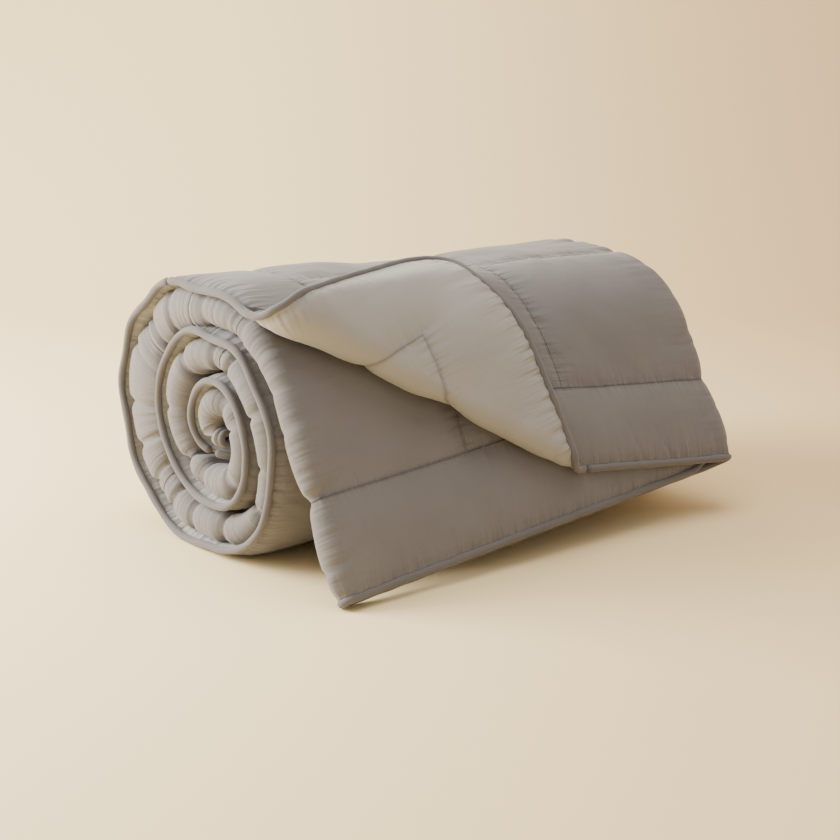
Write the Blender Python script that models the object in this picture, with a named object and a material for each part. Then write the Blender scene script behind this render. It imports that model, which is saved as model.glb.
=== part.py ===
"""A full or queen size box-quilted duvet, folded in three along its length and rolled up, in metres.

X runs along the roll, +Y is the back, +Z is up. The tail of the roll hangs over the front, and the
loose corner of the top leaf is turned back on it. The floor is at z = 0.
"""

import math

import bmesh
import bpy
from mathutils import Vector

FOLDED_WIDTH = 0.750
LEAF_THICKNESS = 0.0176
LEAF_GAP = 0.0016
FABRIC_THICKNESS = 0.0010
LAYER_GAP = 0.0003
TURN_CLEARANCE = 0.0042
CORE_RADIUS = 0.0338
HALF_TURNS = 5
SECOND_TURN_SLACK = 0.016
OUTER_TURN_SLACK = 0.060
LEAN_DEG = 58.0
TAIL_LENGTH = 0.2700
TAIL_SKEW = 0.065
TOP_RETREAT = 0.055
RIDGE_STEPS = 5
ARC_STEP = 0.054
RIGHT_FOLD_STEPS = 5
LEFT_FOLD_STEPS = 4

PIPING_RADIUS = 0.0055
PIPING_SIDES = 6
PIPING_CUT = 0.0006
THREAD_RADIUS = 0.00025
THREAD_SIDES = 3
THREAD_GAP = 0.0002
THREAD_END = 0.004

BORDER = 0.130
BOXES_ACROSS = 6
BOXES_ALONG = 7

CORNER_ALONG = 0.380
CORNER_ACROSS = 0.441
CORNER_ROUND = 0.062
CORNER_TIP_WIDTH = 0.016
FOLD_MARGIN = 0.001
SAME_POINT = 1e-6
SAME_STATION = 1e-4

LEAF_SPACING = LEAF_THICKNESS + LEAF_GAP
STACK = 2 * LEAF_SPACING + LEAF_THICKNESS
PITCH = STACK + TURN_CLEARANCE
HALF_WIDTH = FOLDED_WIDTH / 2
FACE_OFFSET = LEAF_THICKNESS / 2
FILL_OFFSET = FACE_OFFSET - FABRIC_THICKNESS - LAYER_GAP
RIGHT_CENTRE = HALF_WIDTH - LEAF_SPACING - FACE_OFFSET
LEFT_CENTRE = -HALF_WIDTH + LEAF_SPACING / 2 + FACE_OFFSET
TOP_EDGE = -HALF_WIDTH + 2 * PIPING_RADIUS + LAYER_GAP
FREE_EDGE = RIGHT_CENTRE - PIPING_RADIUS - LAYER_GAP

FACE_COLOUR = (0.34, 0.31, 0.29, 1.0)
REVERSE_COLOUR = (0.52, 0.48, 0.43, 1.0)
FILL_COLOUR = (0.90, 0.89, 0.86, 1.0)
PIPING_COLOUR = (0.30, 0.27, 0.25, 1.0)
THREAD_COLOUR = (0.27, 0.25, 0.23, 1.0)


def radius_of(half_turn):
    """Middle radius of a half turn, counted from the core outward."""
    return CORE_RADIUS + half_turn * PITCH / 2


def back_shift(half_turn):
    """How far back the centre of a back half turn lies from the front centre."""
    return {0: 0.0, 2: SECOND_TURN_SLACK}.get(half_turn, OUTER_TURN_SLACK)


BACK_HEIGHT = radius_of(HALF_TURNS - 1) + STACK / 2
FRONT_HEIGHT = BACK_HEIGHT - PITCH / 2


class Route:
    """The line the folded stack follows from the core to the hem, seen along X."""

    def __init__(self):
        self.stations = []
        self.length = 0.0
        self.ridge = 0.0
        self.slope = 0.0

    def add(self, y, z, normal_y, normal_z):
        if self.stations:
            last = self.stations[-1]
            self.length += math.hypot(y - last[1], z - last[2])
        self.stations.append((self.length, y, z, normal_y, normal_z))

    def arc(self, centre_y, centre_z, radius, start, end, steps):
        """An arc given by the angles of its outward normal."""
        for i in range(steps + 1):
            angle = start + (end - start) * i / steps
            ny = math.cos(angle)
            nz = math.sin(angle)
            if self.stations and i == 0:
                last = self.stations[-1]
                gap_y = centre_y + radius * ny - last[1]
                gap_z = centre_z + radius * nz - last[2]
                if math.hypot(gap_y, gap_z) < SAME_POINT:
                    continue
            self.add(centre_y + radius * ny, centre_z + radius * nz, ny, nz)

    def at(self, s):
        """The stations on either side of s and the share of the way between them."""
        stations = self.stations
        index = 0
        while index < len(stations) - 2 and stations[index + 1][0] < s:
            index += 1
        low = stations[index]
        high = stations[index + 1]
        return low, high, (s - low[0]) / (high[0] - low[0])

    def insert(self, s):
        """Adds a station at s, on the line that is already there."""
        for station in self.stations:
            if abs(station[0] - s) < SAME_STATION:
                return
        low, high, share = self.at(s)
        mixed = tuple(a + (b - a) * share for a, b in zip(low, high))
        self.stations.append(mixed)
        self.stations.sort()


def build_route():
    """Half turns from the core outward, then the ridge and the straight, leaning tail."""
    route = Route()
    for half_turn in range(HALF_TURNS):
        radius = radius_of(half_turn)
        steps = max(5, math.ceil(math.pi * radius / ARC_STEP))
        if half_turn % 2 == 0:
            route.arc(back_shift(half_turn), BACK_HEIGHT, radius, -math.pi / 2, math.pi / 2, steps)
        else:
            route.arc(0.0, FRONT_HEIGHT, radius, math.pi / 2, 3 * math.pi / 2, steps)
    lean = math.radians(LEAN_DEG)
    radius = radius_of(HALF_TURNS)
    route.arc(0.0, FRONT_HEIGHT, radius, math.pi / 2, math.pi / 2 + lean, RIDGE_STEPS)
    last = route.stations[-1]
    route.ridge = route.stations[-1 - RIDGE_STEPS][0]
    route.slope = route.length
    down_y = -math.cos(lean)
    down_z = -math.sin(lean)
    route.add(last[1] + TAIL_LENGTH * down_y, last[2] + TAIL_LENGTH * down_z, last[3], last[4])
    return route


ROUTE = build_route()
HEM = ROUTE.length
RIDGE = ROUTE.ridge
CORNER_START = HEM - CORNER_ALONG
FOLD_END = -HALF_WIDTH + CORNER_ACROSS
FOLD_END_S = HEM - TOP_RETREAT - TAIL_SKEW * CORNER_ACROSS / FOLDED_WIDTH
BOX_ALONG = (HEM - 2 * BORDER) / BOXES_ALONG
ROWS = [BORDER + BOX_ALONG * i for i in range(BOXES_ALONG + 1)]

for mark in ROWS + [CORNER_START, (CORNER_START + ROUTE.slope) / 2]:
    ROUTE.insert(mark)


def spot(u, s, h):
    """World position of a point u across, s along the route and h out from the stack's middle."""
    if s < 0:
        first = ROUTE.stations[0]
        y = first[1] + h * first[3] - s * first[4]
        z = first[2] + h * first[4] + s * first[3]
        return Vector((u, y, z))
    low, high, share = ROUTE.at(s)
    y = low[1] + h * low[3] + (high[1] + h * high[3] - low[1] - h * low[3]) * share
    z = low[2] + h * low[4] + (high[2] + h * high[4] - low[2] - h * low[4]) * share
    return Vector((u, y, z))


def reach_of(s):
    """How far down the tail's straight part s lies, from 0 to 1."""
    return min(1.0, max(0.0, (s - ROUTE.slope) / TAIL_LENGTH))


def place(u, s, h):
    """World position of a point of the duvet. Towards the tail's hem the leaves are drawn back, all
    of them towards the right, and the top leaf also towards its turned-back corner."""
    left = min(1.0, max(0.0, (RIGHT_CENTRE - u) / (RIGHT_CENTRE - FOLD_END)))
    raised = min(1.0, max(0.0, (h - FACE_OFFSET) / LEAF_GAP))
    back = TAIL_SKEW * (u + HALF_WIDTH) / FOLDED_WIDTH + TOP_RETREAT * left * raised
    return spot(u, s - back * reach_of(s), h)


def fold_path():
    """The duvet's middle line across the stack: (u, h, normal u, normal h), from the top leaf's
    loose edge round the right fold and the left fold to the middle leaf's hidden edge."""
    path = [(TOP_EDGE, LEAF_SPACING, 0.0, 1.0)]
    for i in range(RIGHT_FOLD_STEPS + 1):
        angle = math.pi / 2 - math.pi * i / RIGHT_FOLD_STEPS
        nu = math.cos(angle)
        nh = math.sin(angle)
        path.append((RIGHT_CENTRE + LEAF_SPACING * nu, LEAF_SPACING * nh, nu, nh))
    radius = LEAF_SPACING / 2
    for i in range(LEFT_FOLD_STEPS + 1):
        angle = -math.pi / 2 - math.pi * i / LEFT_FOLD_STEPS
        nu = math.cos(angle)
        nh = math.sin(angle)
        path.append((LEFT_CENTRE + radius * nu, -radius + radius * nh, nu, nh))
    path.append((FREE_EDGE, 0.0, 0.0, 1.0))
    return path


PATH = fold_path()
RIGHT_ARC = math.pi * LEAF_SPACING
LEFT_ARC = math.pi * LEAF_SPACING / 2
TOP_RUN = RIGHT_CENTRE + HALF_WIDTH
BOTTOM_RUN = RIGHT_CENTRE - LEFT_CENTRE
DUVET_WIDTH = TOP_RUN + RIGHT_ARC + BOTTOM_RUN + LEFT_ARC + RIGHT_CENTRE - LEFT_CENTRE
BOX_ACROSS = (DUVET_WIDTH - 2 * BORDER) / BOXES_ACROSS


def across(a):
    """(u, h, normal u, normal h) at the distance a from the top leaf's loose edge. A distance that
    falls on a fold is moved to the flat leaf beyond it."""
    if a < TOP_RUN:
        return -HALF_WIDTH + a, LEAF_SPACING, 0.0, 1.0
    a = max(a - TOP_RUN - RIGHT_ARC, THREAD_RADIUS)
    if a < BOTTOM_RUN:
        return RIGHT_CENTRE - a, -LEAF_SPACING, 0.0, -1.0
    a = max(a - BOTTOM_RUN - LEFT_ARC, THREAD_RADIUS)
    return LEFT_CENTRE + a, 0.0, 0.0, 1.0


def fold_line(s):
    """Where the straight fold of the turned-back corner crosses the top leaf at s."""
    slant = CORNER_ACROSS / (FOLD_END_S - CORNER_START)
    reach = reach_of(s)
    run = slant * (s - TOP_RETREAT * reach - CORNER_START)
    return max(TOP_EDGE, run / (1 + slant * TAIL_SKEW * reach / FOLDED_WIDTH) - HALF_WIDTH)


def material(name, colour, roughness):
    mat = bpy.data.materials.get(name)
    if mat is None:
        mat = bpy.data.materials.new(name)
        mat.use_nodes = True
        shader = mat.node_tree.nodes["Principled BSDF"]
        shader.inputs["Base Color"].default_value = colour
        shader.inputs["Roughness"].default_value = roughness
    return mat


def make_object(name, points, faces, mat):
    mesh = bpy.data.meshes.new(name)
    mesh.from_pydata([tuple(p) for p in points], [], faces)
    work = bmesh.new()
    work.from_mesh(mesh)
    bmesh.ops.recalc_face_normals(work, faces=work.faces)
    if work.calc_volume(signed=True) < 0:
        bmesh.ops.reverse_faces(work, faces=work.faces)
    work.to_mesh(mesh)
    work.free()
    mesh.materials.append(mat)
    obj = bpy.data.objects.new(name, mesh)
    bpy.context.scene.collection.objects.link(obj)
    return obj


def loft(name, rings, mat):
    """A closed skin over rings of equal length, each diagonal running the same way. A ring is an
    outer line followed by the inner line in reverse, so the ends close as a strip."""
    size = len(rings[0])
    half = size // 2
    points = [p for ring in rings for p in ring]
    faces = []
    for i in range(len(rings) - 1):
        for j in range(size):
            k = (j + 1) % size
            a = i * size + j
            b = i * size + k
            c = a + size
            d = b + size
            if j < half:
                faces.extend([(a, b, d), (a, d, c)])
            else:
                faces.extend([(a, b, c), (b, d, c)])
    last = (len(rings) - 1) * size
    for start, flip in ((0, True), (last, False)):
        for j in range(half - 1):
            quad = (start + j, start + j + 1, start + size - 2 - j, start + size - 1 - j)
            faces.append(tuple(reversed(quad)) if flip else quad)
    return make_object(name, points, faces, mat)


def stations_between(start, end):
    low = start + SAME_STATION
    high = end - SAME_STATION
    inside = [station[0] for station in ROUTE.stations if low < station[0] < high]
    return [start] + inside + [end]


def layer(name, start, end, low, high, mat, left_margin=0.0, follow_fold=False):
    """One layer of the folded stack between two offsets from the duvet's middle."""
    rings = []
    for s in stations_between(start, end):
        path = list(PATH)
        if follow_fold:
            path[0] = (fold_line(s) + left_margin, *PATH[0][1:])
        outer = [place(u + nu * high, s, h + nh * high) for u, h, nu, nh in path]
        inner = [place(u + nu * low, s, h + nh * low) for u, h, nu, nh in path]
        rings.append(outer + inner[::-1])
    return loft(name, rings, mat)


def tube(name, centres, radius, sides, mat):
    """A closed round tube along a line of points, its rings set on the mitre planes."""
    rings = []
    count = len(centres)
    for i, point in enumerate(centres):
        before = centres[max(i - 1, 0)]
        after = centres[min(i + 1, count - 1)]
        tangent = (after - before).normalized()
        if i == 0:
            side = tangent.orthogonal().normalized()
        else:
            side = (side - tangent * side.dot(tangent)).normalized()
        up = tangent.cross(side)
        ring = []
        for k in range(sides):
            angle = math.tau * k / sides
            ring.append(point + side * (radius * math.cos(angle)) + up * (radius * math.sin(angle)))
        rings.append(ring)
    points = [p for ring in rings for p in ring]
    faces = []
    for i in range(count - 1):
        for j in range(sides):
            k = (j + 1) % sides
            faces.append((i * sides + j, i * sides + k, (i + 1) * sides + k, (i + 1) * sides + j))
    faces.append(tuple(reversed(range(sides))))
    faces.append(tuple((count - 1) * sides + j for j in range(sides)))
    return make_object(name, points, faces, mat)


def edge_piping(name, u, h, start, end, mat):
    """Piping that runs along the route on a side edge."""
    centres = [place(u, s, h) for s in stations_between(start, end)]
    return tube(name, centres, PIPING_RADIUS, PIPING_SIDES, mat)


def hem_piping(name, s, mat, first_u):
    """Piping that runs across the folded stack at an end of the duvet."""
    path = [(first_u, *PATH[0][1:])] + PATH[1:-1] + [(RIGHT_CENTRE + PIPING_RADIUS / 2, 0.0, 0.0, 1.0)]
    centres = [place(u, s, h) for u, h, _, _ in path]
    return tube(name, centres, PIPING_RADIUS, PIPING_SIDES, mat)


def long_row(name, a, start, end, mat):
    """A quilting thread along the route, on the reverse fabric."""
    u, h, nu, nh = across(a)
    out = -(FACE_OFFSET + THREAD_GAP + THREAD_RADIUS)
    centres = [place(u + nu * out, s, h + nh * out) for s in stations_between(start, end)]
    return tube(name, centres, THREAD_RADIUS, THREAD_SIDES, mat)


def cross_row(name, s, mat, first_u):
    """A quilting thread across the folded stack, on the face fabric, that ends at the border."""
    out = FACE_OFFSET + THREAD_GAP + THREAD_RADIUS
    path = [(first_u, *PATH[0][1:])] + PATH[1:-1] + [(RIGHT_CENTRE - BORDER, *PATH[-1][1:])]
    centres = [place(u + nu * out, s, h + nh * out) for u, h, nu, nh in path]
    return tube(name, centres, THREAD_RADIUS, THREAD_SIDES, mat)


def corner_outline():
    """Across and along: both ends of the turned-back corner's fold, and its tip, which lies where
    the leaf's corner comes to rest before its hem is drawn back."""
    start = Vector((-HALF_WIDTH, CORNER_START))
    along = Vector((CORNER_ACROSS, CORNER_ALONG)).normalized()
    was = Vector((-HALF_WIDTH, HEM)) - start
    tip = start + along * (2 * was.dot(along)) - was
    return start, Vector((FOLD_END, FOLD_END_S)), tip


FOLD_A, FOLD_B, CORNER_TIP = corner_outline()
CORNER_BASE = LEAF_SPACING + FACE_OFFSET + LEAF_GAP
CORNER_INSET = 2 * PIPING_RADIUS + LAYER_GAP


def edge_u(end, s, inset):
    """Where the corner's free edge from the fold's given end to the tip, moved in, crosses s."""
    direction = CORNER_TIP - end
    inward = Vector((-direction.y, direction.x)).normalized()
    if inward.dot((FOLD_A + FOLD_B) / 2 - CORNER_TIP) < 0:
        inward = -inward
    origin = end + inward * inset
    return origin.x + direction.x * (s - origin.y) / direction.y


def corner_span(s, inset):
    """The corner's left and right ends across at s, between its fold and its two free edges."""
    share = (s - CORNER_START) / (FOLD_END_S - CORNER_START)
    fold = -HALF_WIDTH + CORNER_ACROSS * share + FOLD_MARGIN
    upper = edge_u(FOLD_A, s, inset)
    if CORNER_TIP.y < CORNER_START:
        return max(upper, fold), edge_u(FOLD_B, s, inset)
    return fold, min(upper, edge_u(FOLD_B, s, inset))


def corner_width(s):
    left, right = corner_span(s, CORNER_INSET)
    return right - left


def corner_limits():
    """Where the corner's layers start, at the blunted tip, and where they end."""
    tip = min(CORNER_TIP.y, CORNER_START) + CORNER_INSET
    while corner_width(tip) < CORNER_ROUND:
        tip += FABRIC_THICKNESS
    end = FOLD_END_S - FABRIC_THICKNESS
    while corner_width(end) < CORNER_TIP_WIDTH:
        end -= FABRIC_THICKNESS
    return tip, end


CORNER_TOP, CORNER_END = corner_limits()


def corner_layer(name, low, high, mat):
    rings = []
    for s in stations_between(CORNER_TOP, CORNER_END):
        left, right = corner_span(s, CORNER_INSET)
        outer = [spot(left, s, CORNER_BASE + high), spot(right, s, CORNER_BASE + high)]
        inner = [spot(left, s, CORNER_BASE + low), spot(right, s, CORNER_BASE + low)]
        rings.append(outer + inner[::-1])
    loft(name, rings, mat)


def corner_thread(name, end, h, mat):
    """A quilting thread on the corner, a border's width in from the edge that starts at end. The two
    threads end where their lines meet."""
    inside = []
    steps = round((CORNER_END - CORNER_TOP) / FABRIC_THICKNESS)
    for i in range(1, steps):
        s = CORNER_TOP + FABRIC_THICKNESS * i
        left, right = corner_span(s, CORNER_INSET + THREAD_END)
        within = left + THREAD_END < edge_u(end, s, BORDER) < right
        if within and edge_u(FOLD_A, s, BORDER) < edge_u(FOLD_B, s, BORDER):
            inside.append(s)
    centres = [spot(edge_u(end, s, BORDER), s, h) for s in stations_between(inside[0], inside[-1])]
    tube(name, centres, THREAD_RADIUS, THREAD_SIDES, mat)


def build_corner():
    skin = FABRIC_THICKNESS
    thick = LEAF_THICKNESS
    corner_layer("corner_face_fabric", 0.0, skin, material("corner_face_grey", FACE_COLOUR, 0.85))
    corner_layer("corner_fill", skin + LAYER_GAP, thick - skin - LAYER_GAP,
                 material("corner_fill_white", FILL_COLOUR, 0.95))
    corner_layer("corner_reverse_fabric", thick - skin, thick,
                 material("corner_reverse_greige", REVERSE_COLOUR, 0.85))
    line = []
    top = CORNER_TOP - PIPING_RADIUS - LAYER_GAP
    for s in reversed(stations_between(top, CORNER_START)):
        line.append((max(edge_u(FOLD_A, s, PIPING_RADIUS), PIPING_RADIUS - HALF_WIDTH), s))
    for s in stations_between(top, CORNER_END):
        line.append((edge_u(FOLD_B, s, PIPING_RADIUS), s))
    centres = [spot(u, s, CORNER_BASE + thick / 2) for u, s in line]
    tube("corner_edge_piping", centres, PIPING_RADIUS, PIPING_SIDES,
         material("corner_piping_grey", PIPING_COLOUR, 0.8))
    out = THREAD_GAP + THREAD_RADIUS
    thread = material("corner_thread_grey", THREAD_COLOUR, 0.7)
    corner_thread("corner_lengthwise_quilting", FOLD_A, CORNER_BASE + thick + out, thread)
    corner_thread("corner_crosswise_quilting", FOLD_B, CORNER_BASE - out, thread)


def layers(body, start, end, left_margin, follow_fold):
    """The face fabric, the filling and the reverse fabric of one body of the duvet."""
    face = FACE_OFFSET - FABRIC_THICKNESS
    layer(body + "_face_fabric", start, end, face, FACE_OFFSET,
          material(body + "_face_grey", FACE_COLOUR, 0.85), left_margin, follow_fold)
    layer(body + "_fill", start, end, -FILL_OFFSET, FILL_OFFSET,
          material(body + "_fill_white", FILL_COLOUR, 0.95), left_margin, follow_fold)
    layer(body + "_reverse_fabric", start, end, -FACE_OFFSET, -face,
          material(body + "_reverse_greige", REVERSE_COLOUR, 0.85), left_margin, follow_fold)


def build_roll():
    end = RIDGE - LAYER_GAP / 2
    layers("roll", 0.0, end, 0.0, False)
    piping = material("roll_piping_grey", PIPING_COLOUR, 0.8)
    thread = material("roll_thread_grey", THREAD_COLOUR, 0.7)
    cut = RIDGE - PIPING_CUT
    edge_piping("roll_outer_side_piping", PIPING_RADIUS - HALF_WIDTH, LEAF_SPACING, 0.0, cut, piping)
    edge_piping("roll_inner_side_piping", RIGHT_CENTRE, 0.0, 0.0, cut, piping)
    hem_piping("roll_head_piping", -PIPING_RADIUS - LAYER_GAP, piping, -HALF_WIDTH + PIPING_RADIUS)
    for i in range(BOXES_ACROSS + 1):
        long_row("roll_lengthwise_quilting_%d" % (i + 1), BORDER + BOX_ACROSS * i, BORDER, end, thread)
    for i, s in enumerate(s for s in ROWS if s < end):
        cross_row("roll_crosswise_quilting_%d" % (i + 1), s, thread, BORDER - HALF_WIDTH)


def build_tail():
    start = RIDGE + LAYER_GAP / 2
    layers("tail", start, HEM, FOLD_MARGIN, True)
    piping = material("tail_piping_grey", PIPING_COLOUR, 0.8)
    thread = material("tail_thread_grey", THREAD_COLOUR, 0.7)
    cut = RIDGE + PIPING_CUT
    edge_piping("tail_outer_side_piping", PIPING_RADIUS - HALF_WIDTH, LEAF_SPACING, cut,
                CORNER_START - PIPING_RADIUS, piping)
    edge_piping("tail_inner_side_piping", RIGHT_CENTRE, 0.0, cut, HEM - PIPING_CUT, piping)
    hem_piping("tail_hem_piping", HEM + PIPING_RADIUS + LAYER_GAP, piping, FOLD_END + PIPING_RADIUS)
    first_end = CORNER_START
    while fold_line(first_end) < BORDER - HALF_WIDTH - THREAD_END:
        first_end += FABRIC_THICKNESS
    for i in range(BOXES_ACROSS + 1):
        long_row("tail_lengthwise_quilting_%d" % (i + 1), BORDER + BOX_ACROSS * i, start,
                 first_end if i == 0 else HEM - BORDER, thread)
    for i, s in enumerate(s for s in ROWS if s > start):
        first_u = max(fold_line(s) + THREAD_END, BORDER - HALF_WIDTH)
        cross_row("tail_crosswise_quilting_%d" % (i + 1), s, thread, first_u)


def settle():
    """Puts the middle of the part's box over the origin."""
    low = min(v.co.y for obj in bpy.context.scene.objects for v in obj.data.vertices)
    high = max(v.co.y for obj in bpy.context.scene.objects for v in obj.data.vertices)
    for obj in bpy.context.scene.objects:
        for vertex in obj.data.vertices:
            vertex.co.y -= (low + high) / 2


for old in list(bpy.data.objects):
    bpy.data.objects.remove(old, do_unlink=True)
build_roll()
build_tail()
build_corner()
settle()
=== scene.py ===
import math

import bpy
import numpy as np
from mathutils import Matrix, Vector

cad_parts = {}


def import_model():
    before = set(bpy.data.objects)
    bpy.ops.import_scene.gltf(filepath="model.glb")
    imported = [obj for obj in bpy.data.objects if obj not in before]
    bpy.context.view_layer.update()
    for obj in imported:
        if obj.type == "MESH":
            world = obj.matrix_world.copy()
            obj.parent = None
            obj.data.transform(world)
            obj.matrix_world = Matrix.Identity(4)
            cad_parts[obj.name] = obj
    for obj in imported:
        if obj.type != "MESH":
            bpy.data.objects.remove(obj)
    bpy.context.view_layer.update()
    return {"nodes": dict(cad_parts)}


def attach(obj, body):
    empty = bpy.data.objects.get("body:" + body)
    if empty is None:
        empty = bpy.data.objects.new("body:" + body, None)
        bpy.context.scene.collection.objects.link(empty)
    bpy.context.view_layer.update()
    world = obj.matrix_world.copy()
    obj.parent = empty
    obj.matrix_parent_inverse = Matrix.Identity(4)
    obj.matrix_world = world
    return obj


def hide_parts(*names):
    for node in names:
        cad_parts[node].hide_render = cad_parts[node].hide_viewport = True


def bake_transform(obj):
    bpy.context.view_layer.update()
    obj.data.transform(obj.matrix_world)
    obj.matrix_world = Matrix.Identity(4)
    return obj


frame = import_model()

# Three ways of naming a point of the duvet are used. On the quilt laid flat, a runs across it and
# b along it, from the head in the core of the roll to the hem. On the folded stack, u runs across,
# s along and h out from the middle leaf. World coordinates are the frame's.

# ---------------------------------------------------------------- sizes, as in the CAD
HW = 0.375                  # half of the folded width
LT, LS = 0.0176, 0.0192     # a leaf's thickness, and the spacing of leaves in the stack
STACK = 2 * LS + LT
TURN_CLEARANCE = 0.0042
PITCH = STACK + TURN_CLEARANCE
CORE = 0.0338               # radius of the innermost half turn, at the stack's middle
SECOND_SLACK, OUTER_SLACK = 0.016, 0.060
LEAN = math.radians(58.0)   # how far past the ridge the tail leaves the roll
TAIL = 0.270                # the straight slope at the duvet's end
SKEW, RETREAT = 0.065, 0.055    # how far the leaves are drawn back near the hem, by side and by leaf
Y_SHIFT = 0.03383
PIPE = 0.0055               # the piping's radius
BORDER = 0.130              # the strip along every edge that has no seams across it
ACROSS_BOXES, ALONG_BOXES = 6, 7
CORNER_ALONG, CORNER_ACROSS = 0.380, 0.441
RC = HW - LS - LT / 2
LC = -HW + LS / 2 + LT / 2
TOP_RUN = RC + HW
RIGHT_ARC = math.pi * LS
BOTTOM_RUN = RC - LC
LEFT_ARC = math.pi * LS / 2
WIDE = TOP_RUN + RIGHT_ARC + BOTTOM_RUN + LEFT_ARC + RC - LC
A_RIGHT = TOP_RUN + RIGHT_ARC / 2
A_LEFT = TOP_RUN + RIGHT_ARC + BOTTOM_RUN + LEFT_ARC / 2

# ---------------------------------------------------------------- how the cloth differs from the CAD
SEAM_T, CENTRE_T, EDGE_T = 0.0027, 0.0113, 0.0030   # half thickness at seams, box centres and edges
SEAM_REACH, EDGE_REACH = 0.015, 0.014   # how far from a seam and from an edge the filling is pinched
PUCKER_REACH = 0.012        # how far the puckers run out from a seam
LEFT_REACH, RIGHT_REACH = 0.050, 0.060  # and the creases from the stack's left and right folds,
RIM_REACH, HEM_REACH = 0.030, 0.035     # and from the side edge and the hem
BROAD_WAVE, MEDIUM_WAVE, RIM_WAVE = 0.0026, 0.0012, 0.0030
THINNEST = 0.0012
CURL = 0.0130               # radius of the turned-back corner's fold
CURL_START, CURL_FADE = 0.0190, 0.13    # what it gains at its upper end, and how far along
BULGE, BULGE_LENGTH, TIP_DIP = 0.011, 0.20, 0.004   # the turned-back flap's fullness
FLAP_LENGTH = 0.60
TIP_DIP_AT, TIP_DIP_LENGTH = 0.16, 0.1
EDGE_ROUND = 0.06           # radius of the quilt's cut corners
SLIDE, EDGE_CALM = 0.7, 0.02    # share used of the simulated sideways moves, which fade at an edge
FULLER, FULLER_OPEN_END = 0.022, 0.036  # shares by which the roll is fuller, everywhere and at its left
LOOSE = 0.95                # share by which the inner leaves swell at the back of the outer turn
TOP_LEAF = 0.0104           # height in the stack above which only the top leaf lies
HIGH, GIVE = 0.380, 0.0115  # above this height the cloth rises less and less, by at most GIVE
DROOP, DROOP_LENGTH = 0.005, 0.15
FLOOR_GAP = 0.0004


def route_table():
    """Dense points (s; y, z, normal y, normal z) along the rolled stack's middle, and where on it
    the ridge, the tail's straight slope and the back of the outer turn lie."""
    zb = CORE + 4 * PITCH / 2 + STACK / 2
    zf = zb - PITCH / 2
    shift = {0: 0.0, 2: SECOND_SLACK, 4: OUTER_SLACK}
    pts = []
    arc_points = 90
    for k in range(5):
        r = CORE + k * PITCH / 2
        lo, hi = (-math.pi / 2, math.pi / 2) if k % 2 == 0 else (math.pi / 2, 3 * math.pi / 2)
        cy, cz = (shift[k], zb) if k % 2 == 0 else (0.0, zf)
        for t in np.linspace(lo, hi, arc_points):
            pts.append((cy + r * math.cos(t), cz + r * math.sin(t), math.cos(t), math.sin(t)))
    ridge = len(pts)
    back = ridge - arc_points
    r = CORE + 5 * PITCH / 2
    for t in np.linspace(math.pi / 2, math.pi / 2 + LEAN, 60):
        pts.append((r * math.cos(t), zf + r * math.sin(t), math.cos(t), math.sin(t)))
    slope = len(pts) - 1
    y, z, ny, nz = pts[-1]
    for d in np.linspace(0, TAIL + 0.03, 40)[1:]:
        pts.append((y - d * math.cos(LEAN), z - d * math.sin(LEAN), ny, nz))
    p = np.array(pts)
    s = np.concatenate([[0], np.cumsum(np.hypot(np.diff(p[:, 0]), np.diff(p[:, 1])))])
    keep = np.concatenate([[True], np.diff(s) > 1e-7])
    return s[keep], p[keep], s[ridge], s[slope], (s[back], s[ridge])


S_TAB, P_TAB, RIDGE, SLOPE, S_BACK = route_table()
CUT_X = 0.004               # how far out from the fold's line the corner begins to roll over
LONG = SLOPE + TAIL
CUT = RIDGE - 0.045         # the seam between the roll's and the tail's visual pieces
LAID_START = LONG - CORNER_ALONG
# Near the hem the leaves are drawn back one behind the other. S_A is where the corner's fold starts
# on the flat quilt, LAID_START where it starts on the leaves as they lie.
DRAWN = RETREAT + SKEW * CORNER_ACROSS / (2 * HW)
DRAW_START = 1.05
S_A = (LAID_START * (LONG - DRAW_START) - DRAWN * DRAW_START) / (LONG - DRAW_START - DRAWN)
CLOTH_ALONG = LONG - S_A
FOLD_DIR = np.array([CORNER_ACROSS, CLOTH_ALONG]) / math.hypot(CORNER_ACROSS, CLOTH_ALONG)
FOLD_OUT = np.array([FOLD_DIR[1], -FOLD_DIR[0]])
FOLD_END = -HW + CORNER_ACROSS
# the same fold on the leaves as they lie, and the corner's tip there
LAID = np.array([CORNER_ACROSS, CORNER_ALONG - DRAWN])
LAID_DIR = LAID / math.hypot(*LAID)
LAID_OUT = np.array([LAID_DIR[1], -LAID_DIR[0]])
FLAT_DIR = np.array([CORNER_ACROSS, CORNER_ALONG]) / math.hypot(CORNER_ACROSS, CORNER_ALONG)
TIP = FLAT_DIR * 2 * CORNER_ALONG * FLAT_DIR[1] - np.array([0, CORNER_ALONG])
ALONG_SCALE = math.hypot(*LAID) / math.hypot(CORNER_ACROSS, CLOTH_ALONG)
# how a step out from the fold lies on the leaf, and then on the flap
OUT_LAID = np.array([FOLD_OUT[0], FOLD_OUT[1] * (CORNER_ALONG - DRAWN) / CLOTH_ALONG])
LEAF_X, LEAF_Y = float(OUT_LAID @ LAID_OUT), float(OUT_LAID @ LAID_DIR)
TIP_W = CLOTH_ALONG * FOLD_DIR[0]
FLAP_X = (float(TIP @ LAID_OUT) + math.pi * CURL) / TIP_W
FLAP_Y = (float(TIP @ LAID_DIR) - ALONG_SCALE * CLOTH_ALONG * FOLD_DIR[1]) / TIP_W


def seam_places(length, boxes):
    """The seams along one direction of the quilt, with its two edges first and last."""
    return np.concatenate([[0], BORDER + np.arange(boxes + 1) * (length - 2 * BORDER) / boxes, [length]])


A_SEAMS = seam_places(WIDE, ACROSS_BOXES)
B_SEAMS = seam_places(LONG, ALONG_BOXES)


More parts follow.
